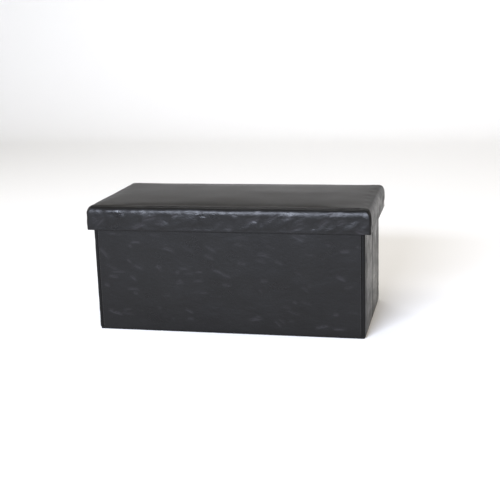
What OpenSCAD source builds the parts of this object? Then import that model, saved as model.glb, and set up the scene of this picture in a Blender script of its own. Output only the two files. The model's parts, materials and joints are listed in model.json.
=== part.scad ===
// Folding storage ottoman: a padded lift-off lid on a box whose two ends crease
// and fold inwards, so that the front panel can be pressed flat against the back.
// Millimetres. +Z is up, +X runs along the length and -Y is the front.
// The origin is on the floor, under the middle of the box.

/* [Lid] */
// Outside length of the lid
lid_length = 760; // [600:5:1000]
// Outside depth of the lid, front to back
lid_depth = 380; // [320:5:480]
// Height from the skirt's lower edge to the crown of the pad
lid_height = 72; // [66:1:90]
// Radius of the padded upper edge
pad_round = 22; // [12:1:22]
// How far the pad's crown stands above its edges
pad_crown = 8; // [4:1:8]
// Radius of the lid's four upright corners
lid_corner = 7; // [4:0.5:12]
// Thickness of the lid's board
lid_board_t = 9; // [6:1:12]
// Thickness of the skirt strips along the front and back
rim_long_t = 5; // [4:0.5:5]
// Thickness of the skirt strips at the two ends
rim_end_t = 11; // [6:0.5:11]

/* [Box] */
// Overall height, from the floor to the crown of the pad
overall_height = 350; // [300:5:480]
// How far the lid stands out past the box at each end
end_overhang = 16; // [16:1:24]
// How far the lid stands out past the box at the front and back
side_overhang = 8; // [8:0.5:12]
// Thickness of the wall boards
wall_board_t = 5; // [4.5:0.5:6]
// Radius of the box's upright corners
wall_corner = 6; // [3:0.5:6]
// Thickness of the base board
base_board_t = 4; // [3:0.5:6]
// How far the base stands in from the walls at the front and ends
base_inset = 2; // [1:0.5:5]

/* [Covering] */
// Thickness of the coated outer cloth
cover_t = 1.2; // [1:0.1:1.5]
// Thickness of the felted inner lining
lining_t = 0.8; // [0.6:0.1:1]
// How far the cover turns down inside a wall's upper edge
wall_turn_in = 20; // [12:1:40]
// How far the cover turns up inside the lid's skirt
lid_turn_in = 20; // [10:1:25]
// Width of each corner hinge strip, measured on the end panel
corner_strip_w = 24.6; // [15:0.1:40]

/* [Hidden] */
$fn = 48;

// Small clearances
wall_clear = 0.3;      // between faces that move past or lie against each other
corner_gap = 0.4;      // between an end panel and the panel that it hinges on
crease_gap = 0.2;      // half the gap between the two boards of an end
lid_rest_gap = 0.2;    // between the lid's lining and the tops of the walls
nail_slack = 0.05;     // round a nail in its hole
staple_slack = 0.05;   // round a staple in its slot
cut = 1;               // how far a cutting shape runs past what it cuts

// Levels
lid_bottom = overall_height - lid_height;
lid_lining_t = 0.6;
pad_edge_z = overall_height - pad_crown;        // top of the padded edge
pad_spring_z = pad_edge_z - pad_round;          // where the edge starts to round over
lid_board_top = pad_spring_z + 4;
lid_board_bottom = lid_board_top - lid_board_t;
base_fabric_t = 0.6;
base_lining_t = 0.4;
base_top = base_fabric_t + base_board_t + base_lining_t;
wall_bottom = base_top + wall_clear;
wall_top = lid_board_bottom - lid_lining_t - lid_rest_gap;
wall_h = wall_top - wall_bottom;

// Plan of the box
box_length = lid_length - 2 * end_overhang;
box_depth = lid_depth - 2 * side_overhang;
wall_t = cover_t + wall_board_t + lining_t;
outer_x = box_length / 2;
inner_x = outer_x - wall_t;
outer_y = box_depth / 2;
inner_y = outer_y - wall_t;

// Hinge axes, all upright: four at the inner corners, two at the end creases
corner_axis = [inner_x - wall_clear, inner_y];
crease_axis = [outer_x + wall_clear, 0];
corner_seam_r = 1.2;
corner_notch_r = 1.6;   // groove that the neighbouring panel has for the seam
crease_seam_r = 1.0;
crease_notch_r = 1.35;

// Core of the lid, inside its cover
core_length = lid_length - 2 * cover_t;
core_depth = lid_depth - 2 * cover_t;
core_corner = lid_corner - cover_t;
rim_bottom = lid_bottom + cover_t;
rim_h = lid_board_bottom - rim_bottom;
recess_x = core_length / 2 - rim_end_t;         // faces of the bare skirt strips
recess_y = core_depth / 2 - rim_long_t;

// Fasteners
nail_r = 0.7;
nail_head_r = 1.6;
nail_head_t = 0.8;
nail_length = 24;
nail_margin = 40;       // from the lid's corners to its first nails
long_nails = 9;
end_nails = 5;
staple_crown = 10;
staple_wire = 1.2;
staple_t = 0.5;
staple_leg = 5.5;
staple_inset = 12;      // from the walls' inner faces to the lid lining's staples
staple_margin = 35;     // from the walls' corners to the first staples
long_staples = 11;
end_staples = 5;

// Strip that joins the base to the back panel
hinge_strip_l = box_length - 48;
hinge_strip_h = 25;
hinge_strip_t = 0.8;
strip_staples = 9;
strip_staple_z = 16;

ENDS = ["left", "right"];
HALVES = ["front", "rear"];

LEATHER = "#2b2a2b";
FELT = "#1c1c1d";
FIBREBOARD = "#a98a63";
FOAM = "#e6dfc6";
STEEL = "#b9bcc0";

// ---------- outlines ----------

// A rectangle with four round corners, centred
module round_rect(l, d, r) {
    square([l - 2 * r, d], center = true);
    square([l, d - 2 * r], center = true);
    for (x = [-1, 1], y = [-1, 1])
        translate([x * (l / 2 - r), y * (d / 2 - r)]) circle(r);
}

// Plan of a long panel: inner face on y = 0, outer corners round
module long_panel_plan(l, t, r) {
    translate([-l / 2, 0]) square([l, t - r]);
    translate([-l / 2 + r, 0]) square([l - 2 * r, t]);
    for (s = [-1, 1]) translate([s * (l / 2 - r), t - r]) circle(r);
}

// Face of a long panel: lower corners round
module long_panel_face(l, h, r) {
    translate([-l / 2, r]) square([l, h - r]);
    translate([-l / 2 + r, 0]) square([l - 2 * r, h]);
    for (s = [-1, 1]) translate([s * (l / 2 - r), r]) circle(r);
}

// A long panel's block, round at its outer upright edges and its lower corners
module long_panel_block(l, t, h, r) {
    intersection() {
        linear_extrude(h) long_panel_plan(l, t, r);
        translate([0, t + cut, 0]) rotate([90, 0, 0]) linear_extrude(t + cut) long_panel_face(l, h, r);
    }
}

// ---------- fasteners ----------

// A staple, driven towards +Z: the back of its crown is on z = 0
module staple(slack = 0) {
    crown = [staple_crown + 2 * slack, staple_wire + 2 * slack];
    translate([-crown[0] / 2, -crown[1] / 2, 0]) cube([crown[0], crown[1], staple_t + slack]);
    for (s = [-1, 1])
        translate([s * (staple_crown - staple_t) / 2 - staple_t / 2 - slack, -crown[1] / 2, 0])
            cube([staple_t + 2 * slack, crown[1], staple_leg + slack]);
}

// A nail, driven towards -Z: the top of its head is on z = 0
module nail(slack = 0) {
    translate([0, 0, -nail_head_t - slack]) cylinder(r = nail_head_r + slack, h = nail_head_t + slack);
    translate([0, 0, -nail_length - slack]) cylinder(r = nail_r + slack, h = nail_length + slack);
}

// Places n children from -reach to reach along X
module spread(n, reach) {
    for (i = [0 : n - 1]) translate([reach * (2 * i / (n - 1) - 1), 0, 0]) children();
}

// Places a child at each staple of the base's hinge strip, driven in from behind
module at_strip_staples() {
    translate([0, outer_y + hinge_strip_t + staple_t, strip_staple_z]) rotate([90, 0, 0])
        spread(strip_staples, hinge_strip_l / 2 - 30) children();
}

// ---------- long panels ----------

// Stands a long panel at the back (side 1) or the front (side -1)
module at_side(side) {
    mirror([0, side < 0 ? 1 : 0, 0]) translate([0, inner_y, wall_bottom]) children();
}

// The grooves that a long panel's inner face has for its two corner seams
module corner_grooves() {
    for (s = [-1, 1])
        translate([s * corner_axis[0], 0, -cut]) cylinder(r = corner_notch_r, h = wall_h + 2 * cut);
}

module long_board(side) {
    color(FIBREBOARD) difference() {
        at_side(side) difference() {
            intersection() {
                long_panel_block(box_length - 2 * cover_t, wall_t - cover_t, wall_h - cover_t,
                                 wall_corner - cover_t);
                translate([-outer_x, lining_t, -cut]) cube([box_length, wall_board_t, wall_h + 2 * cut]);
            }
            corner_grooves();
        }
        if (side > 0) at_strip_staples() staple(staple_slack);
    }
}

module long_cover(side) {
    flap_l = box_length - 2 * cover_t;
    color(LEATHER) difference() {
        at_side(side) difference() {
            union() {
                difference() {
                    long_panel_block(box_length, wall_t, wall_h, wall_corner);
                    translate([0, -cut, -cut]) linear_extrude(wall_h - cover_t + cut)
                        long_panel_plan(flap_l, wall_t - cover_t + cut, wall_corner - cover_t);
                }
                translate([-flap_l / 2, 0, wall_h - wall_turn_in])
                    cube([flap_l, lining_t, wall_turn_in - cover_t]);
            }
            corner_grooves();
        }
        if (side > 0) at_strip_staples() staple(staple_slack);
    }
}

module long_lining(side) {
    l = 2 * (corner_axis[0] - corner_notch_r);
    color(FELT) at_side(side)
        translate([-l / 2, 0, 0]) cube([l, lining_t, wall_h - wall_turn_in]);
}

// ---------- end panels, each in a front and a rear half ----------

// Moves a shape from the right rear quarter of the box to the named quarter
module at_quarter(end, half) {
    mirror([end == "left" ? 1 : 0, 0, 0]) mirror([0, half == "front" ? 1 : 0, 0])
        translate([0, 0, wall_bottom]) children();
}

// Rounds a half panel's edges back from the two seams that it turns on. It holds its corner seam,
// and a rear half holds the crease seam too, so those grooves are the seams' own size.
module clear_of_seams(half) {
    crease_r = half == "rear" ? crease_seam_r : crease_notch_r;
    difference() {
        children();
        translate([corner_axis[0], corner_axis[1], -cut]) cylinder(r = corner_seam_r, h = wall_h + 2 * cut);
        translate([crease_axis[0], crease_axis[1], -cut]) cylinder(r = crease_r, h = wall_h + 2 * cut);
    }
}

half_end = inner_y - corner_gap;
half_l = half_end - crease_gap;
strip_start = half_end - corner_strip_w;

module half_board(end, half) {
    color(FIBREBOARD) at_quarter(end, half) clear_of_seams(half)
        translate([inner_x + lining_t, crease_gap, 0]) cube([wall_board_t, half_l, wall_h - cover_t]);
}

module half_cover(end, half) {
    color(LEATHER) at_quarter(end, half) clear_of_seams(half) union() {
        translate([outer_x - cover_t, crease_gap, 0])
            cube([cover_t, strip_start - crease_gap, wall_h]);
        translate([inner_x, crease_gap, wall_h - cover_t]) cube([wall_t, half_l, cover_t]);
        translate([inner_x, crease_gap, wall_h - wall_turn_in])
            cube([lining_t, half_l, wall_turn_in]);
    }
}

module half_lining(end, half) {
    color(FELT) at_quarter(end, half) clear_of_seams(half)
        translate([inner_x, crease_gap, 0]) cube([lining_t, half_l, wall_h - wall_turn_in]);
}

module corner_strip(end, half) {
    color(LEATHER) at_quarter(end, half)
        translate([outer_x - cover_t, strip_start, 0])
            cube([cover_t, corner_strip_w, wall_h - cover_t]);
}

module corner_seam(end, half) {
    color(FELT) at_quarter(end, half)
        translate([corner_axis[0], corner_axis[1], 0]) cylinder(r = corner_seam_r, h = wall_h - cover_t);
}

module crease_seam(end) {
    color(LEATHER) at_quarter(end, "rear")
        translate([crease_axis[0], crease_axis[1], 0]) cylinder(r = crease_seam_r, h = wall_h - cover_t);
}

// ---------- base ----------

// A level sheet as large as the base, less an edge: its back is flush with the back panel's
module base_sheet(z, t, edge = 0) {
    translate([0, base_inset / 2, z]) linear_extrude(t)
        round_rect(box_length - 2 * (base_inset + edge), box_depth - base_inset - 2 * edge,
                   wall_corner - base_inset / 2 - edge / 2);
}

module base_board() {
    color(FIBREBOARD) base_sheet(base_fabric_t, base_board_t, base_fabric_t);
}

// The cloth under the base, turned up round the board's edges
module base_wrap() {
    color(LEATHER) difference() {
        base_sheet(0, base_fabric_t + base_board_t);
        base_sheet(base_fabric_t, base_board_t + cut, base_fabric_t);
    }
}

module base_lining() {
    color(FELT) base_sheet(base_fabric_t + base_board_t, base_lining_t);
}

module base_hinge_strip() {
    color(LEATHER) difference() {
        translate([-hinge_strip_l / 2, outer_y, base_fabric_t])
            cube([hinge_strip_l, hinge_strip_t, hinge_strip_h - base_fabric_t]);
        at_strip_staples() staple(staple_slack);
    }
}

module hinge_strip_staples() {
    color(STEEL) at_strip_staples() staple();
}

// ---------- lid ----------

// Outline of the lid's core
module core_outline() {
    round_rect(core_length, core_depth, core_corner);
}

// Places a child at each nail: along the four skirt strips' middles
module at_nails() {
    for (s = [-1, 1]) {
        translate([0, s * (core_depth - rim_long_t) / 2, lid_board_top])
            spread(long_nails, core_length / 2 - nail_margin) children();
        translate([s * (core_length - rim_end_t) / 2, 0, lid_board_top]) rotate(90)
            spread(end_nails, core_depth / 2 - nail_margin) children();
    }
}

// Places a child at each staple of the lid's lining, driven up into the board
module at_lid_staples() {
    translate([0, 0, lid_board_bottom - lid_lining_t]) for (s = [-1, 1]) {
        translate([0, s * (inner_y - staple_inset), 0])
            spread(long_staples, inner_x - staple_margin) children();
        translate([s * (inner_x - staple_inset), 0, 0]) rotate(90)
            spread(end_staples, inner_y - staple_margin) children();
    }
}

module lid_board() {
    color(FIBREBOARD) difference() {
        translate([0, 0, lid_board_bottom]) linear_extrude(lid_board_t) core_outline();
        at_nails() nail(nail_slack);
        at_lid_staples() staple(staple_slack);
    }
}

module rim_long(side) {
    color(FIBREBOARD) difference() {
        translate([-recess_x, side > 0 ? recess_y : -recess_y - rim_long_t, rim_bottom])
            cube([2 * recess_x, rim_long_t, rim_h]);
        at_nails() nail(nail_slack);
    }
}

module rim_end(side) {
    color(FIBREBOARD) difference() {
        intersection() {
            translate([0, 0, rim_bottom]) linear_extrude(rim_h) core_outline();
            translate([side > 0 ? recess_x : -recess_x - 2 * rim_end_t, -core_depth, rim_bottom - 1])
                cube([2 * rim_end_t, 2 * core_depth, rim_h + 2]);
        }
        at_nails() nail(nail_slack);
    }
}

module lid_rim_nails() {
    color(STEEL) at_nails() nail();
}

crown_reach = lid_depth * 0.36;     // from the round edge in to the pad's level middle

// Heights and insets of the pad's outline, from its sides over the round edge to the crown
pad_steps = concat(
    [for (a = [0 : 15 : 90]) [pad_spring_z + pad_round * sin(a), pad_round * (1 - cos(a))]],
    [for (k = [0.25 : 0.25 : 1]) [pad_edge_z + pad_crown * sin(90 * k), pad_round + crown_reach * k]]);

// One outline of the pad, drawn in by an inset, its corners rounder the further in it lies
module pad_outline(inset, skin) {
    l = lid_length - 2 * (inset + skin);
    d = lid_depth - 2 * (inset + skin);
    round_rect(l, d, min(lid_corner - skin + inset * 0.6, d / 2 - cut), $fn = 32);
}

// The outer form of the pad, drawn in by a skin's thickness and cut off below bottom_z
module pad_form(skin, bottom_z) {
    sliver = 0.01;
    intersection() {
        hull() for (s = pad_steps)
            translate([0, 0, s[0] - skin - sliver]) linear_extrude(sliver) pad_outline(s[1], skin);
        translate([-lid_length, -lid_depth, bottom_z])
            cube([2 * lid_length, 2 * lid_depth, overall_height]);
    }
}

module lid_foam() {
    color(FOAM) pad_form(cover_t, lid_board_top);
}

// The skirt's cover: outside, round the lower edge and up inside the strips
module skirt_cover() {
    inner_face = [2 * (recess_x - lining_t), 2 * (recess_y - lining_t)];
    difference() {
        translate([0, 0, lid_bottom]) linear_extrude(lid_board_top - lid_bottom)
            round_rect(lid_length, lid_depth, lid_corner);
        translate([0, 0, rim_bottom]) linear_extrude(overall_height) core_outline();
        translate([-inner_face[0] / 2, -inner_face[1] / 2, lid_bottom - 1])
            cube([inner_face[0], inner_face[1], lid_height]);
    }
    translate([0, 0, rim_bottom]) recess_band(lid_turn_in);
}

// A band as thick as the lining, round the inside of the skirt strips
module recess_band(h) {
    difference() {
        translate([-recess_x, -recess_y, 0]) cube([2 * recess_x, 2 * recess_y, h]);
        translate([-recess_x + lining_t, -recess_y + lining_t, -1])
            cube([2 * (recess_x - lining_t), 2 * (recess_y - lining_t), h + 2]);
    }
}

module lid_cover() {
    color(LEATHER) union() {
        skirt_cover();
        difference() {
            pad_form(0, lid_board_top);
            pad_form(cover_t, lid_board_top - cut);
        }
    }
}

module lid_lining() {
    color(FELT) difference() {
        union() {
            translate([-recess_x, -recess_y, lid_board_bottom - lid_lining_t])
                cube([2 * recess_x, 2 * recess_y, lid_lining_t]);
            translate([0, 0, rim_bottom + lid_turn_in]) recess_band(rim_h - lid_turn_in);
        }
        at_lid_staples() staple(staple_slack);
    }
}

module lid_staples() {
    color(STEEL) at_lid_staples() staple();
}

// ---------- nodes ----------

lid_board();
rim_long(-1);  // lid_rim_front
rim_long(1);  // lid_rim_back
rim_end(-1);  // lid_rim_left
rim_end(1);  // lid_rim_right
lid_foam();
lid_cover();
lid_lining();
lid_rim_nails();
lid_staples();
long_board(-1);  // front_board
long_cover(-1);  // front_cover
long_lining(-1);  // front_lining
long_board(1);  // back_board
long_cover(1);  // back_cover
long_lining(1);  // back_lining
base_board();
base_wrap();
base_lining();
base_hinge_strip();
hinge_strip_staples();
for (e = ENDS) {
    crease_seam(e);
    for (h = HALVES) {
        half_board(e, h);
        half_cover(e, h);
        half_lining(e, h);
        corner_strip(e, h);
        corner_seam(e, h);
    }
}
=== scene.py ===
import json
import math

import bpy
import bmesh
import numpy as np
from mathutils import Matrix, Vector


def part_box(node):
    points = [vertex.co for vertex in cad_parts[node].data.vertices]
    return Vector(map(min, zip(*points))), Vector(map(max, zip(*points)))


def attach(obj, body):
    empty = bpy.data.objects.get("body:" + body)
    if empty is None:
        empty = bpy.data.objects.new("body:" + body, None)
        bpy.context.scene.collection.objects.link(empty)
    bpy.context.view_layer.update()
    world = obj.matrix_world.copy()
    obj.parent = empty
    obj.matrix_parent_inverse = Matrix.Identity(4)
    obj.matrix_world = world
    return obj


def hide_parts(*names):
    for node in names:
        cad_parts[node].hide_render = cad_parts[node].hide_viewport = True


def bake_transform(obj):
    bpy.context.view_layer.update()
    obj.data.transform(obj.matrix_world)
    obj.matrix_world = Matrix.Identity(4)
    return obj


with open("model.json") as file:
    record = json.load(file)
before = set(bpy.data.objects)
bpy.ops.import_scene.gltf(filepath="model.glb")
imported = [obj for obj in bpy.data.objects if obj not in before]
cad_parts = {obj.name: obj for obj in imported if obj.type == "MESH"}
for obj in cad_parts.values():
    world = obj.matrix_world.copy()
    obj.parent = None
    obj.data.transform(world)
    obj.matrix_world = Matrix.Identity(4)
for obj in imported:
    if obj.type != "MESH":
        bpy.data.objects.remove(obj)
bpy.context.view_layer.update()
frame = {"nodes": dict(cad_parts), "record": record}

mm = 0.001
scene = bpy.context.scene
scene.view_settings.view_transform = "Standard"
ends = {"left": -1, "right": 1}
halves = {"front": -1, "rear": 1}


def toLinear(hexColour):
    parts = [int(hexColour[i:i + 2], 16) / 255 for i in (1, 3, 5)]
    return [c / 12.92 if c <= 0.04045 else ((c + 0.055) / 1.055) ** 2.4 for c in parts] + [1]


def addNode(tree, kind, values=None, links=None, **settings):
    node = tree.nodes.new(kind)
    for name, value in settings.items():
        setattr(node, name, value)
    for key, value in (values or {}).items():
        node.inputs[key].default_value = value
    for key, source in (links or {}).items():
        tree.links.new(source, node.inputs[key])
    return node


def newMaterial(name):
    material = bpy.data.materials.new(name)
    material.use_nodes = True
    tree = material.node_tree
    tree.nodes.clear()
    shader = addNode(tree, "ShaderNodeBsdfPrincipled")
    addNode(tree, "ShaderNodeOutputMaterial", links={0: shader.outputs[0]})
    return material, tree, shader, addNode(tree, "ShaderNodeTexCoord").outputs["Object"]


def newPiece(name, points, faces, material):
    mesh = bpy.data.meshes.new(name)
    mesh.from_pydata([tuple(p) for p in points], [], [tuple(f) for f in faces])
    mesh.materials.append(material)
    mesh.polygons.foreach_set("use_smooth", [True] * len(mesh.polygons))
    piece = bpy.data.objects.new(name, mesh)
    scene.collection.objects.link(piece)
    return piece


def applyModifiers(piece):
    bpy.context.view_layer.update()
    evaluated = piece.evaluated_get(bpy.context.evaluated_depsgraph_get())
    mesh = bpy.data.meshes.new_from_object(evaluated)
    piece.modifiers.clear()
    piece.data = mesh
    mesh.name = piece.name


def reshape(piece, change):
    work = bmesh.new()
    work.from_mesh(piece.data)
    change(work)
    work.to_mesh(piece.data)
    work.free()


def faceOutward(piece):
    reshape(piece, lambda work: bmesh.ops.recalc_face_normals(work, faces=work.faces))


def mergePoints(piece):
    reshape(piece, lambda work: bmesh.ops.remove_doubles(work, verts=work.verts, dist=0.001 * mm))


def dropLoosePoints(work):
    bmesh.ops.delete(work, geom=[v for v in work.verts if not v.link_faces], context="VERTS")


def readVectors(mesh, field):
    flat = np.empty(len(mesh.vertices) * 3)
    mesh.vertices.foreach_get(field, flat)
    return flat.reshape(-1, 3)


def writePoints(mesh, points):
    mesh.vertices.foreach_set("co", np.asarray(points, float).ravel())
    mesh.update()


def ease(value, low, high):
    t = np.clip((value - low) / (high - low), 0, 1)
    return t * t * (3 - 2 * t)


# Camera, floor and lamps

# Degrees for the angles, millimetres for the lens and its film, metres for the rest
eye = {"place": (0.6299, -2.6507, 0.8438), "turn": -12.9, "tilt": 13.6, "roll": -1.8,
       "lens": 72.19, "film": 36, "far": 100}


def makeCamera():
    turn, tilt, roll = (math.radians(eye[k]) for k in ("turn", "tilt", "roll"))
    ahead = Vector((math.sin(turn) * math.cos(tilt), math.cos(turn) * math.cos(tilt), -math.sin(tilt)))
    level = Vector((math.cos(turn), -math.sin(turn), 0))
    above = level.cross(ahead)
    right = math.cos(roll) * level + math.sin(roll) * above
    up = -math.sin(roll) * level + math.cos(roll) * above
    data = bpy.data.cameras.new("viewCamera")
    data.lens, data.sensor_width, data.clip_end = eye["lens"], eye["film"], eye["far"]
    body = bpy.data.objects.new("viewCamera", data)
    body.matrix_world = Matrix((right, up, -ahead)).transposed().to_4x4()
    body.location = eye["place"]
    scene.collection.objects.link(body)
    scene.camera = body


studio = {
    "paper": "#f6f6f5", "paperRoughness": 0.95, "half": 7.0, "front": -7.0,
    "sweepStart": 3.6, "sweepRadius": 0.8, "sweepSteps": 12, "wallTop": 1.28,
    "air": "#f5f1ea", "airStrength": 0.34,
}
lamps = [  # name, size, place, aim, watts, colour
    ("frontPanel", (1.7, 0.44), (-0.5, -3.3, 1.6), (0, 0, 0.33), 228, "#e4ecff"),
    ("leftPanel", (1.6, 1.6), (-3.4, -0.6, 3.0), (-0.6, 0.4, 0), 55, "#fffaf4"),
    ("rightPanel", (1.6, 1.6), (3.6, -0.2, 3.0), (0.6, 0.4, 0), 55, "#fff3e6"),
    ("backdropPanel", (3.0, 0.8), (0, 1.8, 3.8), (0, 3.4, 0), 60, "#ffffff"),
]


def makeStudio():
    paper, _, shader, _ = newMaterial("mattBackdropPaper")
    shader.inputs["Base Color"].default_value = toLinear(studio["paper"])
    shader.inputs["Roughness"].default_value = studio["paperRoughness"]
    start, radius, steps = studio["sweepStart"], studio["sweepRadius"], studio["sweepSteps"]
    profile = [(studio["front"], 0), (start, 0)]
    for i in range(1, steps + 1):
        a = math.radians(90 * i / steps)
        profile.append((start + radius * math.sin(a), radius * (1 - math.cos(a))))
    profile.append((start + radius, studio["wallTop"]))
    points = [(x, y, z) for y, z in profile for x in (-studio["half"], studio["half"])]
    faces = [(2 * i, 2 * i + 1, 2 * i + 3, 2 * i + 2) for i in range(len(profile) - 1)]
    backdrop = newPiece("backdrop", points, faces, paper)
    world = bpy.data.worlds.new("softRoom")
    world.use_nodes = True
    air = world.node_tree.nodes["Background"]
    air.inputs["Color"].default_value = toLinear(studio["air"])
    air.inputs["Strength"].default_value = studio["airStrength"]
    scene.world = world
    for name, size, place, aim, watts, colour in lamps:
        data = bpy.data.lights.new(name, "AREA")
        data.shape, data.size, data.size_y = "RECTANGLE", size[0], size[1]
        data.energy, data.color = watts, toLinear(colour)[:3]
        lamp = bpy.data.objects.new(name, data)
        lamp.location = place
        lamp.rotation_euler = (Vector(aim) - Vector(place)).to_track_quat("-Z", "Y").to_euler()
        scene.collection.objects.link(lamp)


makeCamera()
makeStudio()
print("studio ready")


# Materials

cloth = {
    # the pale colour is painted along pressed creases, partly wear and partly a painted highlight, and along
    # the lid's front ridge as a painted highlight
    "dark": "#0d0c0c", "light": "#151413", "wornAndHighlit": "#302e30",
    "roughness": (0.24, 0.48), "specular": 0.205, "edgingSpecular": 0.13,
    "pebble": 2.4 * mm,   # the real pebble is about 1 mm across, drawn coarser so that it shows
    "pebbleDepth": 0.25 * mm, "pebbleStrength": 0.22,
    "crackle": 11 * mm, "crackleDepth": 1.1 * mm, "cloud": 60 * mm, "cloudDepth": 5 * mm,
    "slant": (0.3, 0.4, 0.3), "stretch": (0.75, 0.85, 1.3),
    "relief": 0.5, "calmShare": 0.12,   # strength of the relief, and its share on the tight lid top
    "mottle": 120 * mm,
}


# Polyurethane coated cloth, embossed and polished: near black, half gloss, painted paler along its creases,
# partly as wear and partly as a painted highlight, and along the lid's front ridge as a painted highlight.
# The edging is the same cloth drawn tight round the corners, which dulls it.
def makeCoatedCloth(name, specular):
    material, tree, shader, coords = newMaterial(name)
    wearAndHighlight = addNode(tree, "ShaderNodeAttribute", attribute_name="wearAndHighlight").outputs["Fac"]
    calm = addNode(tree, "ShaderNodeAttribute", attribute_name="calm").outputs["Fac"]
    lively = addNode(tree, "ShaderNodeMapRange", {3: 1.0, 4: cloth["calmShare"]}, {0: calm})
    faint = addNode(tree, "ShaderNodeMath", {1: cloth["relief"]}, {0: lively.outputs[0]},
                    operation="MULTIPLY")
    slanted = addNode(tree, "ShaderNodeMapping", {"Rotation": cloth["slant"], "Scale": cloth["stretch"]},
                      {"Vector": coords})
    crackle = addNode(tree, "ShaderNodeTexNoise",
                      {"Scale": 1 / cloth["crackle"], "Detail": 6, "Roughness": 0.62, "Distortion": 0.8},
                      {"Vector": slanted.outputs[0]})
    clouds = addNode(tree, "ShaderNodeTexNoise", {"Scale": 1 / cloth["cloud"], "Detail": 5, "Roughness": 0.6},
                     {"Vector": slanted.outputs[0]})
    pebble = addNode(tree, "ShaderNodeTexVoronoi", {"Scale": 1 / cloth["pebble"]}, {"Vector": coords},
                     feature="SMOOTH_F1")
    fine = addNode(tree, "ShaderNodeBump",
                   {"Strength": cloth["pebbleStrength"], "Distance": cloth["pebbleDepth"]},
                   {"Height": pebble.outputs["Distance"]})
    relief = addNode(tree, "ShaderNodeBump", {"Distance": cloth["crackleDepth"]},
                     {"Height": crackle.outputs["Fac"], "Normal": fine.outputs[0],
                      "Strength": faint.outputs[0]})
    swell = addNode(tree, "ShaderNodeBump", {"Distance": cloth["cloudDepth"]},
                    {"Height": clouds.outputs["Fac"], "Normal": relief.outputs[0],
                     "Strength": faint.outputs[0]})
    mottle = addNode(tree, "ShaderNodeTexNoise", {"Scale": 1 / cloth["mottle"], "Detail": 4},
                     {"Vector": coords})
    plain = addNode(tree, "ShaderNodeMix", {6: toLinear(cloth["dark"]), 7: toLinear(cloth["light"])},
                    {0: mottle.outputs["Fac"]}, data_type="RGBA")
    # painted paler where the attribute marks creases (wear and painted highlight) and the lid's ridge
    # (painted highlight), broken up by the clouds
    wearAndHighlightShare = addNode(tree, "ShaderNodeMath", None, {0: wearAndHighlight, 1: clouds.outputs["Fac"]}, operation="MULTIPLY")
    wornAndHighlit = addNode(tree, "ShaderNodeMix", {7: toLinear(cloth["wornAndHighlit"])},
                     {0: wearAndHighlightShare.outputs[0], 6: plain.outputs[2]}, data_type="RGBA")
    even = addNode(tree, "ShaderNodeMix", {2: 0.5}, {0: lively.outputs[0], 3: clouds.outputs["Fac"]},
                   data_type="FLOAT")
    glossy, dull = cloth["roughness"]
    gloss = addNode(tree, "ShaderNodeMapRange", {1: 0.3, 2: 0.7, 3: glossy, 4: dull}, {0: even.outputs[0]})
    shader.inputs["Specular IOR Level"].default_value = specular
    tree.links.new(wornAndHighlit.outputs[2], shader.inputs["Base Color"])
    tree.links.new(gloss.outputs[0], shader.inputs["Roughness"])
    tree.links.new(swell.outputs[0], shader.inputs["Normal"])
    return material


felt = {
    "dark": "#151516", "light": "#2c2c2e", "roughness": 0.95, "specular": 0.2, "sheen": 0.2,
    "fibre": 3.0 * mm, "fibreDepth": 0.5 * mm, "dimple": 1.8 * mm, "dimpleDepth": 0.3 * mm,
}


# Needle-punched polypropylene felt: black and dull, with short matted fibres
def makeFelt():
    material, tree, shader, coords = newMaterial("needlePunchedFelt")
    combed = addNode(tree, "ShaderNodeMapping", {"Scale": (0.45, 0.45, 1)}, {"Vector": coords})
    fibres = addNode(tree, "ShaderNodeTexNoise", {"Scale": 1 / felt["fibre"], "Detail": 6, "Roughness": 0.75},
                     {"Vector": combed.outputs[0]})
    dimples = addNode(tree, "ShaderNodeTexVoronoi", {"Scale": 1 / felt["dimple"]}, {"Vector": coords})
    colour = addNode(tree, "ShaderNodeMix", {6: toLinear(felt["dark"]), 7: toLinear(felt["light"])},
                     {0: fibres.outputs["Fac"]}, data_type="RGBA")
    fine = addNode(tree, "ShaderNodeBump", {"Strength": 0.5, "Distance": felt["fibreDepth"]},
                   {"Height": fibres.outputs["Fac"]})
    coarse = addNode(tree, "ShaderNodeBump", {"Strength": 0.3, "Distance": felt["dimpleDepth"]},
                     {"Height": dimples.outputs["Distance"], "Normal": fine.outputs[0]})
    shader.inputs["Roughness"].default_value = felt["roughness"]
    shader.inputs["Specular IOR Level"].default_value = felt["specular"]
    shader.inputs["Sheen Weight"].default_value = felt["sheen"]
    tree.links.new(colour.outputs[2], shader.inputs["Base Color"])
    tree.links.new(coarse.outputs[0], shader.inputs["Normal"])
    return material


grainDepth = 0.3 * mm
plainFinishes = {  # name, dark, light, grain in mm, bump, roughness, metallic
    "fibreboard": ("mediumDensityFibreboard", "#8a6844", "#b8946a", 2.2, 0.25, 0.85, 0),
    "foam": ("openCellPolyurethaneFoam", "#d8cba0", "#efe8cf", 1.6, 0.6, 0.95, 0),
    "steel": ("zincPlatedDrawnWire", "#a4a8ad", "#c4c8cc", 0.9, 0.1, 0.36, 1),
    "thread": ("bondedPolyesterThread", "#1f1e1e", "#454141", 0.6, 0.3, 0.55, 0),
}


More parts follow.
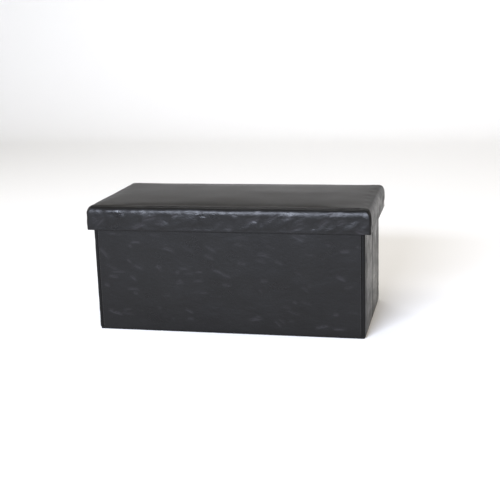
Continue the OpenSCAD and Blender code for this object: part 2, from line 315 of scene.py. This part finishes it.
# Pressed board is dull tan with flecks, foam is cream and porous, zinc wire is pale and drawn smooth,
# and thread is black with a soft twisted sheen
def makePlainFinish(name, dark, light, grain, bump, roughness, metallic):
    material, tree, shader, coords = newMaterial(name)
    flecks = addNode(tree, "ShaderNodeTexNoise", {"Scale": 1 / (grain * mm), "Detail": 5, "Roughness": 0.75},
                     {"Vector": coords})
    colour = addNode(tree, "ShaderNodeMix", {6: toLinear(dark), 7: toLinear(light)},
                     {0: flecks.outputs["Fac"]}, data_type="RGBA")
    relief = addNode(tree, "ShaderNodeBump", {"Strength": bump, "Distance": grainDepth},
                     {"Height": flecks.outputs["Fac"]})
    shader.inputs["Roughness"].default_value = roughness
    shader.inputs["Metallic"].default_value = metallic
    tree.links.new(colour.outputs[2], shader.inputs["Base Color"])
    tree.links.new(relief.outputs[0], shader.inputs["Normal"])
    return material


finishes = {slot: makePlainFinish(*facts) for slot, facts in plainFinishes.items()}
finishes["coated_cloth"] = makeCoatedCloth("polyurethaneCoatedCloth", cloth["specular"])
finishes["edging"] = makeCoatedCloth("polyurethaneCoatedEdging", cloth["edgingSpecular"])
finishes["felted_lining"] = makeFelt()
for part in frame["record"]["subparts"]:
    mesh = frame["nodes"][part["node"]].data
    mesh.materials.clear()
    mesh.materials.append(finishes[part["material_slot"]])
print("materials ready")


# Creases and ripples that the cloth has in its own shape, lengths in millimetres

creaseSpread, mostBow = 17, 2.5   # degrees off the usual slope, and how far a crease bends
rippleWaves = 14
wallCreases = {"slope": -15, "length": (10, 38), "width": (1.5, 2.5), "depth": (0.12, 0.5)}
lidCreases = {"slope": 12, "length": (14, 40), "width": (2.4, 4.4), "depth": (0.22, 0.6)}


def drawCreases(seed, count, spanU, spanV, kind):
    draw = np.random.default_rng(seed)
    turn = np.radians(draw.normal(kind["slope"], creaseSpread, count))
    return list(zip(draw.uniform(*spanU, count), draw.uniform(*spanV, count), np.cos(turn), np.sin(turn),
                    draw.uniform(*kind["length"], count) * mm / 2, draw.uniform(*kind["width"], count) * mm,
                    draw.uniform(*kind["depth"], count) * mm, draw.normal(0, mostBow, count)))


# A pressed line with a low lip along one side
def creaseHeight(creases, u, v):
    height = np.zeros_like(u)
    for atU, atV, cosine, sine, half, width, depth, bow in creases:
        near = (np.abs(u - atU) < 1.7 * half) & (np.abs(v - atV) < 1.7 * half)
        du, dv = u[near] - atU, v[near] - atV
        along = du * cosine + dv * sine
        across = (dv * cosine - du * sine - bow * along ** 2) / width
        fade = np.exp(-(along / half) ** 4)
        height[near] += depth * fade * (0.7 * np.exp(-(across - 1.1) ** 2) - np.exp(-across ** 2))
    return height


def rippleHeight(seed, u, v, waves, size):
    draw = np.random.default_rng(seed)
    height = np.zeros_like(u)
    turns = draw.uniform(0, 2 * math.pi, rippleWaves)
    lengths = draw.uniform(*waves, rippleWaves) * mm
    phases = draw.uniform(0, 2 * math.pi, rippleWaves)
    for turn, wave, phase in zip(turns, lengths, phases):
        height += np.sin((u * math.cos(turn) + v * math.sin(turn)) * 2 * math.pi / wave + phase)
    return height * size * mm / math.sqrt(rippleWaves)


def setAttribute(piece, name, values):
    attribute = piece.data.attributes.new(name, "FLOAT", "POINT")
    attribute.data.foreach_set("value", np.asarray(values, np.float32))


# Walls: the cloth of each panel is one sheet with a rolled top edge

frontLow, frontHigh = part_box("front_cover")
stripLow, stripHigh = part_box("right_rear_corner_strip")
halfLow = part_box("right_rear_cover")[0]
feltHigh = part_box("back_lining")[1]
wall = {
    "bottom": frontLow.z, "top": frontHigh.z, "outerX": frontHigh.x, "outerY": -frontLow.y,
    "innerX": halfLow.x, "innerY": -frontHigh.y, "feltTop": feltHigh.z, "feltX": feltHigh.x,
    "cloth": stripHigh.x - stripLow.x, "stripStart": stripLow.y, "cornerGapY": stripHigh.y,
    "upright": 6 * mm, "roll": 2.4 * mm, "cell": 2.5 * mm,
    "stripX": 354 * mm, "stripTop": 5.2 * mm, "creaseStart": 1.1 * mm,
    "longCreases": 80, "endCreases": 20, "waves": (60, 190), "waveHeight": 0.28,
    "swell": 0.22 * mm, "sink": 0.7 * mm, "tuck": 0.75 * mm, "tuckWidth": 1.8 * mm,
    "clothEnd": 1.4 * mm, "boardEnd": 0.15 * mm, "endCap": 8.2 * mm, "endTurn": 0.7 * mm,
}
drawnTight = 0.95   # share of the cloth's thickness that is left where it is glued down


def spaced(low, high, cell):
    return list(np.linspace(low, high, max(2, int(round(abs(high - low) / cell)) + 1)))


# (depth behind the outer face, height) down the outside, over the top and down the inside
def wallProfile(innerDepth):
    bottom, top, roll, cell = (wall[k] for k in ("bottom", "top", "roll", "cell"))
    flapBottom, count = wall["feltTop"] + 0.1 * mm, 5
    profile = [(0.0, z) for z in spaced(bottom, top - roll, cell)]
    for i in range(1, count + 1):
        a = math.radians(90 * i / count)
        profile.append((roll * (1 - math.cos(a)), top - roll + roll * math.sin(a)))
    for i in range(count + 1):
        a = math.radians(90 * i / count)
        profile.append((innerDepth - roll + roll * math.sin(a), top - roll + roll * math.cos(a)))
    profile += [(innerDepth, z) for z in spaced(top - roll, flapBottom, cell)[1:]]
    return profile


# A sheet of quads over columns x rows, with a hole wherever keep() says no
def sheetPiece(name, rows, columns, place, keep, material):
    points = [place(c, r) for r in rows for c in columns]
    width = len(columns)
    faces = []
    for i in range(len(rows) - 1):
        for j in range(width - 1):
            if keep((columns[j] + columns[j + 1]) / 2, rows[i], rows[i + 1]):
                faces.append((i * width + j, i * width + j + 1, (i + 1) * width + j + 1, (i + 1) * width + j))
    piece = newPiece(name, points, faces, material)
    reshape(piece, dropLoosePoints)
    return piece


def thicken(piece, thickness):
    solid = piece.modifiers.new("thickness", "SOLIDIFY")
    solid.thickness, solid.offset = thickness, -1
    solid.use_even_offset = True
    applyModifiers(piece)


def finishCloth(piece):
    print("made", piece.name, len(piece.data.polygons), "faces")


# Long panel, front or back
def makeLongLeather(name, side, seed):
    w = wall
    depthIn = w["outerY"] - w["innerY"]
    rows = wallProfile(depthIn)
    straight = w["outerX"] - w["upright"]
    arcLength = w["upright"] * math.pi / 2
    columns = spaced(-straight, straight, w["cell"])
    edge = [straight + arcLength * i / 4 for i in range(1, 5)] + [straight + arcLength + w["endTurn"]]
    stripEdge = w["stripX"]
    columns = sorted(set([-c for c in edge] + columns + edge + [-stripEdge, stripEdge]))

    def place(c, row):
        depth, z = row
        reach = abs(c)
        if reach <= straight:
            x, y = reach, w["outerY"] - depth
        else:
            a = min((reach - straight) / w["upright"], math.pi / 2)
            slide = max(0, reach - straight - arcLength)
            radius = max(w["upright"] - depth, 0)
            x = straight + radius * math.sin(a)
            y = w["outerY"] - max(depth, w["upright"]) + radius * math.cos(a) - slide
            x = min(x, w["outerX"] - 0.05 * mm)
        return (math.copysign(x, c), y * side, z)

    def keep(c, low, high):
        if low[0] < 0.01 * mm and high[0] < 0.01 * mm and high[1] < w["top"] - w["stripTop"] + 0.1 * mm:
            return abs(c) < stripEdge
        if low[0] > depthIn - 0.01 * mm:
            return abs(c) < w["feltX"]
        return True

    piece = sheetPiece(name, rows, columns, place, keep, finishes["coated_cloth"])
    faceOutward(piece)
    shapeWallCloth(piece, True, seed)
    thicken(piece, w["cloth"] * drawnTight)
    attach(piece, "back" if side > 0 else "front")
    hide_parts("back_cover" if side > 0 else "front_cover")
    finishCloth(piece)


# Half of an end panel
def makeHalfLeather(end, half, seed):
    w = wall
    sideX, sideY = ends[end], halves[half]
    depthIn = w["outerX"] - w["innerX"]
    rows = wallProfile(depthIn)
    clothEnd, boardEnd = w["cornerGapY"] - w["clothEnd"], w["cornerGapY"] + w["boardEnd"]
    middle = depthIn / 2
    columns = sorted(set(spaced(w["creaseStart"], w["stripStart"], w["cell"])
                         + spaced(w["stripStart"], clothEnd, w["cell"]) + [boardEnd, boardEnd + middle]))

    def place(c, row):   # the last column closes the board's end above the corner strip
        depth, z = row
        if c > boardEnd:
            depth, z = middle, min(z, w["top"] - middle)
        return ((w["outerX"] - depth) * sideX, min(c, boardEnd) * sideY, z)

    def keep(c, low, high):
        if c > clothEnd and min(low[1], high[1]) < w["top"] - w["endCap"]:
            return False
        if low[0] < 0.01 * mm and high[0] < 0.01 * mm and high[1] < w["top"] - w["stripTop"] + 0.1 * mm:
            return c < w["stripStart"]
        return True

    name = f"{end}{half.capitalize()}Leather"
    piece = sheetPiece(name, rows, columns, place, keep, finishes["coated_cloth"])
    mergePoints(piece)
    faceOutward(piece)
    shapeWallCloth(piece, False, seed)
    thicken(piece, w["cloth"] * drawnTight)
    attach(piece, f"{end}_{half}")
    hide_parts(f"{end}_{half}_cover")
    finishCloth(piece)


# Shallow creases and waves on the outer face, which stay in the thickness of the cloth
def shapeWallCloth(piece, long, seed):
    w = wall
    points, normals = readVectors(piece.data, "co"), readVectors(piece.data, "normal")
    x, y, v = points.T
    u, outside = (x, np.abs(y) > w["outerY"] - 0.5 * mm) if long else (y, np.abs(x) > w["outerX"] - 0.5 * mm)
    count = w["longCreases"] if long else w["endCreases"]
    height = creaseHeight(drawCreases(seed, count, (u.min(), u.max()), (0.02, 0.3), wallCreases), u, v)
    raised = np.abs(height) / (0.3 * mm)
    height += rippleHeight(seed + 1, u, v, w["waves"], w["waveHeight"])
    room = ease(v, w["bottom"], w["bottom"] + 15 * mm) * ease(w["top"] - v, 4 * mm, 20 * mm)
    height = np.clip(height, -w["sink"], w["swell"]) * room * outside
    edge = np.abs(u) - (w["stripX"] if long else w["stripStart"])
    below = v < w["top"] - w["stripTop"] + 0.5 * mm
    height -= w["tuck"] * np.exp(-(edge / w["tuckWidth"]) ** 2) * outside * below
    writePoints(piece.data, points + normals * height[:, None])
    # the creases are painted paler here: partly wear, partly a painted highlight
    setAttribute(piece, "wearAndHighlight", np.clip(raised * room * outside, 0, 1))


strip = {
    "flatCell": 2 * mm, "bendSteps": 6, "endCell": 1.6 * mm, "footCell": 0.8 * mm, "cell": 3.4 * mm,
    "foot": 7.2 * mm, "waves": (14, 60), "waveHeight": 0.22, "sink": 0.4 * mm, "swell": 0.08 * mm,
    "foldRoom": 0.16 * mm, "foldAt": 180 * mm, "hinge": 175 * mm, "before": 3 * mm, "past": 3.5 * mm,
    "pucker": 0.5 * mm, "puckerPitch": 2.2 * mm, "puckerBelow": 12 * mm, "puckerReach": 7 * mm,
}


# The strip of cloth that turns a corner and is the hinge there
def makeCornerStrip(end, half, seed):
    w, c = wall, strip
    sideX, sideY = ends[end], halves[half]
    up = w["upright"]
    straight = w["outerX"] - up
    arcLength = up * math.pi / 2
    lengths = spaced(0, straight - w["stripX"], c["flatCell"])
    first = lengths[-1]
    turned = first + arcLength
    lengths += [first + arcLength * i / c["bendSteps"] for i in range(1, c["bendSteps"] + 1)]
    lengths += spaced(turned, turned + w["outerY"] - up - w["stripStart"], c["endCell"])[1:]
    foot = w["bottom"] + c["foot"]
    rows = spaced(w["bottom"], foot, c["footCell"]) + spaced(foot, w["top"] - w["stripTop"], c["cell"])[1:]

    def place(s, z):
        if s <= first:
            x, y = w["stripX"] + s, w["outerY"]
        elif s <= turned:
            a = (s - first) / up
            x, y = straight + up * math.sin(a), w["outerY"] - up + up * math.cos(a)
        else:
            x, y = w["outerX"], w["outerY"] - up - (s - turned)
        return (x * sideX, y * sideY, z)

    piece = sheetPiece(f"{end}{half.capitalize()}CornerStrip", rows, lengths, place, lambda c, a, b: True,
                       finishes["edging"])
    faceOutward(piece)
    points, normals = readVectors(piece.data, "co"), readVectors(piece.data, "normal")
    x, y, z = np.abs(points).T
    height = np.clip(rippleHeight(seed, x + y, z, c["waves"], c["waveHeight"]), -c["sink"], c["swell"])
    height -= c["foldRoom"] * ease(c["foldAt"] - y, 0, 2 * mm)
    frontEdge = np.exp(-((x - w["stripX"]) / w["tuckWidth"]) ** 2) * (y > w["outerY"] - 1 * mm)
    height -= w["tuck"] * (frontEdge + np.exp(-((y - w["stripStart"]) / w["tuckWidth"]) ** 2))
    drop = np.clip(up - (z - w["bottom"]), 0, up)   # the foot of the corner is rounded under
    reach = w["outerX"] - (up - np.sqrt(up ** 2 - drop ** 2))
    points[:, 0] -= np.sign(points[:, 0]) * np.maximum(0, x - reach) * ease(y, 175 * mm, 179 * mm)
    level = (z - w["top"] + c["puckerBelow"]) / c["puckerReach"]
    pucker = np.exp(-level ** 2) * ease(y, 172 * mm, 178 * mm)
    height -= c["pucker"] * pucker * (1 + np.sin((x - y) / c["puckerPitch"])) / 2
    writePoints(piece.data, points + normals * height[:, None])
    thicken(piece, w["cloth"] * drawnTight)
    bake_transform(piece)
    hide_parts(f"{end}_{half}_corner_strip")
    finishCloth(piece)


creaseFold = {"x": 363.75 * mm, "radius": 0.95 * mm, "sides": 10, "top": 313 * mm, "cell": 4 * mm,
              "unevenness": 0.05, "wave": 7 * mm}


# The fold of cloth that joins the two halves of an end, sewn to the rear half
def makeCreaseFold(end):
    c = creaseFold
    heights = spaced(wall["bottom"], c["top"], c["cell"])
    points = []
    for z in heights:
        radius = c["radius"] * (1 - c["unevenness"] * math.sin(z / c["wave"]) ** 2)
        for i in range(c["sides"]):
            a = 2 * math.pi * i / c["sides"]
            points.append((ends[end] * (c["x"] + radius * math.cos(a)), radius * math.sin(a), z))
    n = c["sides"]
    faces = [(j * n + i, j * n + (i + 1) % n, (j + 1) * n + (i + 1) % n, (j + 1) * n + i)
             for j in range(len(heights) - 1) for i in range(n)]
    faces += [tuple(range(n)), tuple(range(len(points) - n, len(points)))]
    piece = newPiece(f"{end}CreaseFold", points, faces, finishes["edging"])
    faceOutward(piece)
    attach(piece, f"{end}_rear")
    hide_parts(f"{end}_crease_seam")
    finishCloth(piece)


stitch = {"pitch": 5.2 * mm, "length": 3.6 * mm, "radius": 0.42 * mm, "sides": 6, "rings": 4,
          "sink": 0.2 * mm, "margin": 8 * mm, "besideStrip": 2.6 * mm}


# Geometry Nodes: a stitch laid every pitch along each seam line
def makeStitchTree():
    tree = bpy.data.node_groups.new("stitchRow", "GeometryNodeTree")
    face = tree.interface
    face.new_socket("Seams", in_out="INPUT", socket_type="NodeSocketGeometry")
    for name, key in (("Pitch", "pitch"), ("Stitch length", "length"), ("Thread radius", "radius")):
        face.new_socket(name, in_out="INPUT", socket_type="NodeSocketFloat").default_value = stitch[key]
    face.new_socket("Thread", in_out="INPUT", socket_type="NodeSocketMaterial")
    face.new_socket("Stitches", in_out="OUTPUT", socket_type="NodeSocketGeometry")
    given = addNode(tree, "NodeGroupInput").outputs
    curve = addNode(tree, "GeometryNodeMeshToCurve", links={0: given["Seams"]})
    marks = addNode(tree, "GeometryNodeCurveToPoints",
                    links={"Curve": curve.outputs[0], "Length": given["Pitch"]}, mode="LENGTH")
    ball = addNode(tree, "GeometryNodeMeshUVSphere",
                   {"Segments": stitch["sides"], "Rings": stitch["rings"], "Radius": 1})
    half = addNode(tree, "ShaderNodeMath", {1: 0.5}, {0: given["Stitch length"]}, operation="MULTIPLY")
    size = addNode(tree, "ShaderNodeCombineXYZ",
                   links={0: given["Thread radius"], 1: given["Thread radius"], 2: half.outputs[0]})
    shaped = addNode(tree, "GeometryNodeTransform",
                     links={"Geometry": ball.outputs[0], "Scale": size.outputs[0]})
    laid = addNode(tree, "GeometryNodeInstanceOnPoints",
                   links={"Points": marks.outputs["Points"], "Instance": shaped.outputs[0],
                          "Rotation": marks.outputs["Rotation"]})
    solid = addNode(tree, "GeometryNodeRealizeInstances", links={0: laid.outputs[0]})
    smooth = addNode(tree, "GeometryNodeSetShadeSmooth", links={0: solid.outputs[0]})
    painted = addNode(tree, "GeometryNodeSetMaterial",
                      links={"Geometry": smooth.outputs[0], "Material": given["Thread"]})
    addNode(tree, "NodeGroupOutput", links={0: painted.outputs[0]})
    return tree


def makeStitches(tree, name, body, lines):
    points = [p for line in lines for p in line]
    mesh = bpy.data.meshes.new(name)
    mesh.from_pydata(points, [(2 * i, 2 * i + 1) for i in range(len(lines))], [])
    piece = bpy.data.objects.new(name, mesh)
    scene.collection.objects.link(piece)
    rows = piece.modifiers.new("stitchRow", "NODES")
    rows.node_group = tree
    given = {"Pitch": stitch["pitch"], "Stitch length": stitch["length"], "Thread radius": stitch["radius"],
             "Thread": finishes["thread"]}
    for socket in tree.interface.items_tree:
        if socket.in_out == "INPUT" and socket.name in given:
            rows[socket.identifier] = given[socket.name]
    applyModifiers(piece)
    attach(piece, body)
    print("made", name, len(piece.data.polygons), "faces")


def makeAllStitches():
    tree = makeStitchTree()
    low, high = wall["bottom"] + stitch["margin"], wall["top"] - stitch["margin"]
    x = wall["stripX"] - stitch["besideStrip"]
    y = wall["stripStart"] - stitch["besideStrip"]
    faceX, faceY = wall["outerX"] - stitch["sink"], wall["outerY"] - stitch["sink"]
    for name, body, side in (("frontStitches", "front", -1), ("backStitches", "back", 1)):
        lines = [[(s * x, side * faceY, low), (s * x, side * faceY, high)] for s in (-1, 1)]
        makeStitches(tree, name, body, lines)
    for end, sideX in ends.items():
        for half, sideY in halves.items():
            makeStitches(tree, f"{end}{half.capitalize()}Stitches", f"{end}_{half}",
                         [[(sideX * faceX, sideY * y, low), (sideX * faceX, sideY * y, high)]])


makeLongLeather("frontLeather", -1, seed=11)
makeLongLeather("backLeather", 1, seed=23)
seed = 40
for end in ends:
    for half in halves:
        makeHalfLeather(end, half, seed)
        makeCornerStrip(end, half, seed + 3)
        seed += 10
for end in ends:
    makeCreaseFold(end)
makeAllStitches()
print("walls ready")


# Lid: one padded cover over the foam, its skirt turned in round the rim

lidLow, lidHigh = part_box("lid_cover")
lid = {
    "reachX": lidHigh.x, "reachY": lidHigh.y, "bottom": lidLow.z,
    "spring": 320 * mm, "round": 22 * mm, "crown": 3.2 * mm,
    "lean": 28, "leanShare": 0.5, "level": 89, "turnShare": 0.27,   # degrees, and shares of the rounded edge
    "edgeCell": 2.3 * mm, "edgeBand": 22 * mm, "nearCell": 3.4 * mm, "nearBand": 60 * mm,
    "cellX": 5.0 * mm, "cellY": 7.0 * mm,
    "corner": 7 * mm, "cornerGrowth": 0.6, "cornerFade": 45 * mm,
    "skirtSteps": 9, "hem": 1.6 * mm, "turnInX": 367.0 * mm, "turnInY": 183.0 * mm, "turnInTop": 299.2 * mm,
    "turnInCorner": 6 * mm, "liningX": 367.6 * mm, "liningY": 183.6 * mm, "liningTop": 315 * mm,
}
puff = {
    "pressure": 4.0, "grow": -0.012, "stiffness": 25, "bending": 0.6, "quality": 6, "steps": 20,
    "cap": 5 * mm, "kept": 0.22, "fill": 0.9,
}


# Grid lines that are closer together towards both ends
def graded(reach, middle):
    lines, at = [0.0], 0.0
    while at < reach:
        left = reach - at
        if left < lid["edgeBand"]:
            at += lid["edgeCell"]
        elif left < lid["nearBand"]:
            at += lid["nearCell"]
        else:
            at += middle
        lines.append(at)
    scale = reach / lines[-1]
    lines = [x * scale for x in lines]
    return [-x for x in reversed(lines[1:])] + lines


# Moves a point of a square ring onto the ring with round corners
def roundRing(x, y, halfX, halfY, radius):
    if radius < 0.1 * mm:
        return x, y
    ax, ay = abs(x), abs(y)
    overX, overY = ax - (halfX - radius), ay - (halfY - radius)
    if overX <= 0 or overY <= 0:
        return x, y
    path = overX if halfY - ay <= halfX - ax else 2 * radius - overY
    a = math.pi / 2 * path / (2 * radius)
    return (math.copysign(halfX - radius + radius * math.sin(a), x),
            math.copysign(halfY - radius + radius * math.cos(a), y))


def lidCornerRadius(inset):
    grown = lid["corner"] + lid["cornerGrowth"] * min(inset, lid["round"])
    return grown * (1 - ease(inset, lid["round"], lid["round"] + lid["cornerFade"]))


# The edge leans back gently over the foam, then turns over quickly to the level top
def lidEdgeProfile():
    t = np.linspace(0, 1, 201)
    lean, level = np.radians(lid["lean"]), np.radians(lid["level"])
    angle = lean * np.clip(t / lid["leanShare"], 0, 1)
    angle += (level - lean) * ease(t, lid["leanShare"], lid["leanShare"] + lid["turnShare"])
    rise, inset = np.cumsum(np.cos(angle)), np.cumsum(np.sin(angle))
    scale = lid["round"] / rise[-1]
    return t, inset * scale, rise * scale


def lidTopPoint(u, v, patchX, patchY, profile):
    a, b = lid["reachX"], lid["reachY"]
    arcHeight = math.pi * lid["round"] / 2
    share, insets, rises = profile
    r = insets[-1]
    q = max(0.0, min(patchX - abs(u), patchY - abs(v)))
    if q < arcHeight:
        inset = float(np.interp(q / arcHeight, share, insets))
        z = lid["spring"] + float(np.interp(q / arcHeight, share, rises))
    else:
        inset, z = r + (q - arcHeight) * (b - r) / (patchY - arcHeight), lid["spring"] + lid["round"]
    hx, hy = a - inset, b - inset
    sx, sy = u / max(patchX - q, 1e-9), v / max(patchY - q, 1e-9)
    x, y = roundRing(sx * hx, sy * hy, hx, hy, lidCornerRadius(inset))
    cx, cy = min(abs(x) / (a - r), 1), min(abs(y) / (b - r), 1)
    return (x, y, z + lid["crown"] * (1 - cx ** 3) * (1 - cy ** 2))


# (half length, half depth, height, how much sharper its corners are) of each ring below the spring line,
# down the skirt, round the hem and up inside
def lidRings():
    reachX, reachY, low, hem, corner = (lid[k] for k in ("reachX", "reachY", "bottom", "hem", "turnInCorner"))
    rings = [(reachX, reachY, z, 0) for z in np.linspace(lid["spring"], low + hem, lid["skirtSteps"] + 1)[1:]]
    for i in range(1, 4):
        a = math.radians(30 * i)
        inset = hem * (1 - math.cos(a))
        rings.append((reachX - inset, reachY - inset, low + hem - hem * math.sin(a), inset))
    widthX, widthY = reachX - lid["turnInX"] - hem, reachY - lid["turnInY"] - hem
    for t in (0.35, 0.7, 0.94, 1.0):
        rings.append((reachX - hem - widthX * t, reachY - hem - widthY * t,
                      low if t < 1 else low + 1 * mm, corner * t))
    for z in (290 * mm, lid["turnInTop"]):
        rings.append((lid["turnInX"], lid["turnInY"], z, corner))
    for z in (lid["turnInTop"] + 0.3 * mm, lid["liningTop"]):
        rings.append((lid["liningX"], lid["liningY"], z, corner))
    return rings


def buildLidMesh():
    arcHeight = math.pi * lid["round"] / 2
    patchX, patchY = lid["reachX"] - lid["round"] + arcHeight, lid["reachY"] - lid["round"] + arcHeight
    us, vs = graded(patchX, lid["cellX"]), graded(patchY, lid["cellY"])
    nu, nv = len(us), len(vs)
    profile = lidEdgeProfile()
    points = [lidTopPoint(u, v, patchX, patchY, profile) for v in vs for u in us]
    faces = [(j * nu + i, j * nu + i + 1, (j + 1) * nu + i + 1, (j + 1) * nu + i)
             for j in range(nv - 1) for i in range(nu - 1)]
    rim = list(range(nu)) + [j * nu + nu - 1 for j in range(1, nv)]
    rim += [(nv - 1) * nu + i for i in range(nu - 2, -1, -1)] + [j * nu for j in range(nv - 2, 0, -1)]
    share = [(us[k % nu] / patchX, vs[k // nu] / patchY) for k in rim]
    last = rim
    for hx, hy, z, inset in lidRings():
        start = len(points)
        radius = max(lid["corner"] - inset, 1.0 * mm)
        for sx, sy in share:
            x, y = roundRing(sx * hx, sy * hy, hx, hy, radius)
            points.append((x, y, z))
        ring = list(range(start, len(points)))
        count = len(ring)
        faces += [(last[k], ring[k], ring[(k + 1) % count], last[(k + 1) % count]) for k in range(count)]
        last = ring
    return points, faces


# The trapped air swells the top a little, and the skirt is held still
def puffLid(piece):
    rest = readVectors(piece.data, "co")
    held = piece.vertex_groups.new(name="held")
    weights = 1 - ease(rest[:, 2], lid["spring"] - 2 * mm, lid["spring"] + 12 * mm)
    for index, weight in enumerate(weights):
        if weight > 0:
            held.add([index], float(weight), "REPLACE")
    simulated = piece.modifiers.new("puff", "CLOTH")
    settings = simulated.settings
    settings.vertex_group_mass = "held"
    settings.use_pressure = True
    settings.uniform_pressure_force = puff["pressure"]
    settings.shrink_min = puff["grow"]
    settings.effector_weights.gravity = 0
    settings.tension_stiffness = settings.compression_stiffness = puff["stiffness"]
    settings.bending_stiffness = puff["bending"]
    settings.quality = puff["quality"]
    simulated.collision_settings.use_collision = False
    for step in range(1, puff["steps"] + 1):
        scene.frame_set(step)
    applyModifiers(piece)
    moved = readVectors(piece.data, "co") - rest
    size = np.linalg.norm(moved, axis=1)
    scale = puff["kept"] * np.minimum(1, puff["cap"] / np.maximum(size, 1e-9))
    scale *= ease(rest[:, 2], lid["spring"] + 12 * mm, lid["spring"] + 23 * mm)   # the edge keeps its shape
    writePoints(piece.data, rest + moved * scale[:, None])
    print("lid puffed, mean", round(float(size.mean()) / mm, 2), "mm, most", round(float(size.max()) / mm, 2))


# Closes the flat inside of the cover, which the lid's board and lining hide
def capOpening(work):
    bmesh.ops.holes_fill(work, edges=[e for e in work.edges if e.is_boundary], sides=0)
    bmesh.ops.recalc_face_normals(work, faces=work.faces)


lidCloth = {
    "creases": 96, "creaseBand": (0.28, 0.34),
    "skirtWaves": (24, 90), "skirtHeight": 0.8, "rollWaves": (22, 60), "rollHeight": 0.42,
    "rollMiddle": 330 * mm, "rollReach": 8 * mm, "topWaves": (90, 260), "topHeight": 0.25,
    "ridgeY": -171.5 * mm, "ridgeWidth": 3.2 * mm, "ridgeHeight": 1.8 * mm,
    "valleyY": -178.5 * mm, "valleyWidth": 2.4 * mm, "valleyDepth": 1.4 * mm,
    "ridgeWaves": (120, 300), "ridgeWander": 1.5, "ridgeFade": (-0.27, -0.2), "ridgeEnd": 0.372,
    # the last entry says how much paler the ridge is painted, a painted highlight
    "sink": 0.6 * mm, "swell": 1.2 * mm, "ridgePaintedHighlight": 0.8,
}


# Waves and pressed lines on the skirt, and the ridge that the cloth makes behind the front edge
def shapeLidCloth(piece):
    c = lidCloth
    points, normals = readVectors(piece.data, "co"), readVectors(piece.data, "normal")
    x, y, z = points.T
    reachX, reachY, spring, low = (lid[k] for k in ("reachX", "reachY", "spring", "bottom"))
    skirt = ease(spring - z, -4 * mm, 6 * mm) * ease(z, low + 3 * mm, low + 12 * mm)
    outside = np.maximum(np.abs(x) - (reachX - 4 * mm), np.abs(y) - (reachY - 4 * mm)) > 0
    around = np.where(np.abs(y) > reachY - 30 * mm, x, y + np.sign(x) * 1.3)   # each end has its own stretch
    onTop = ease(z, spring + 4 * mm, spring + 20 * mm)
    height = rippleHeight(5, around, z * 1.5, c["skirtWaves"], c["skirtHeight"]) * skirt * outside
    creases = creaseHeight(drawCreases(6, c["creases"], (-1.7, 1.7), c["creaseBand"], lidCreases), around, z)
    pressed = np.abs(creases) * outside
    height += creases * outside
    roll = np.exp(-((z - c["rollMiddle"]) / c["rollReach"]) ** 2)
    height += rippleHeight(7, around, z * 0.3, c["rollWaves"], c["rollHeight"]) * roll
    height += rippleHeight(8, x, y, c["topWaves"], c["topHeight"]) * onTop
    line = y + rippleHeight(9, x, y * 0, c["ridgeWaves"], c["ridgeWander"])
    ridge = np.exp(-((line - c["ridgeY"]) / c["ridgeWidth"]) ** 2)
    valley = np.exp(-((line - c["valleyY"]) / c["valleyWidth"]) ** 2)
    present = ease(x, *c["ridgeFade"]) * ease(c["ridgeEnd"] - x, 0, 0.03) * onTop
    height += (c["ridgeHeight"] * ridge - c["valleyDepth"] * valley) * present
    height = np.where(z < spring + 8 * mm, np.clip(height, -c["sink"], c["swell"]), height)
    writePoints(piece.data, points + normals * height[:, None])
    # pressed lines are painted paler, partly wear and partly a painted highlight, and the front ridge is
    # painted paler as a painted highlight
    wearAndHighlight = np.maximum(pressed / (0.4 * mm), c["ridgePaintedHighlight"] * ridge * present)
    setAttribute(piece, "wearAndHighlight", np.clip(wearAndHighlight, 0, 1))
    setAttribute(piece, "calm", onTop)


def makeLidLeather():
    points, faces = buildLidMesh()
    piece = newPiece("lidLeather", points, faces, finishes["coated_cloth"])
    faceOutward(piece)
    puffLid(piece)
    smooth = piece.modifiers.new("smooth", "SUBSURF")
    smooth.levels = smooth.render_levels = 1
    applyModifiers(piece)
    shapeLidCloth(piece)
    reshape(piece, capOpening)
    piece.vertex_groups.clear()
    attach(piece, "lid")
    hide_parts("lid_cover", "lid_foam")
    finishCloth(piece)


makeLidLeather()
print("lid ready")
